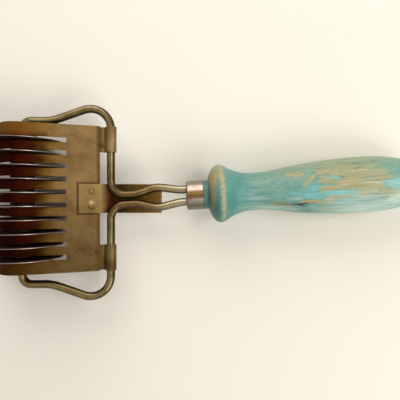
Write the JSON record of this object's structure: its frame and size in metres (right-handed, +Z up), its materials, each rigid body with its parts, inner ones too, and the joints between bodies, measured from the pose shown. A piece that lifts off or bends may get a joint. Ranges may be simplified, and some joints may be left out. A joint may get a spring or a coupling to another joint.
{
  "type": "rolling mincer",
  "caption": "Hand rolling mincer: round blades on an axle turn in a wire frame under a hinged slotted stripper plate, pushed by a turned painted wooden handle.",
  "frame": {"origin": "bottom centre of the whole tool as it lies at rest on its discs and the handle's belly", "axes": "+X from the drum to the handle's butt, +Y to the left of someone who holds it, +Z up"},
  "size_m": [0.2246, 0.0973, 0.0381],
  "materials": {
    "painted_wood": "turned wood in worn turquoise paint, bare and grey where it has chipped",
    "ferrule_nickel": "thin nickel plate, slightly dulled",
    "wire_steel": "drawn steel wire with an olive brown patina",
    "stained_tinplate": "tinplate stained tan and brown",
    "rivet_steel": "soft steel rivet, stained as the plate",
    "blade_steel": "dark stained steel disc with a bright worn edge",
    "drum_steel": "dark steel rings and tube"
  },
  "bodies": {
    "frame": {"handle": "painted_wood", "ferrule": "ferrule_nickel", "frame_wire_left": "wire_steel", "frame_wire_right": "wire_steel"},
    "roller": {"axle_tube": "drum_steel", "blade_01": "blade_steel", "blade_02": "blade_steel", "blade_03": "blade_steel", "blade_04": "blade_steel", "blade_05": "blade_steel", "blade_06": "blade_steel", "blade_07": "blade_steel", "blade_08": "blade_steel", "blade_09": "blade_steel", "blade_10": "blade_steel", "end_collar_left": "drum_steel", "end_collar_right": "drum_steel", "spacer_1": "drum_steel", "spacer_2": "drum_steel", "spacer_3": "drum_steel", "spacer_4": "drum_steel", "spacer_5": "drum_steel", "spacer_6": "drum_steel", "spacer_7": "drum_steel", "spacer_8": "drum_steel", "spacer_9": "drum_steel"},
    "stripper": {"stripper_plate": "stained_tinplate", "latch_tongue": "stained_tinplate", "tongue_rivet_1": "rivet_steel", "tongue_rivet_2": "rivet_steel"}
  },
  "joints": [
    {"name": "roller_spin", "type": "hinge", "parent": "frame", "child": "roller", "pos_m": [-0.0933, 0.0015, 0.01905], "axis": [0, 1, 0], "continuous": true},
    {"name": "stripper_hinge", "type": "hinge", "parent": "frame", "child": "stripper", "pos_m": [-0.04972, 0.002, 0.01783], "axis": [0, 1, 0], "range_deg": [0, 150]}
  ]
}
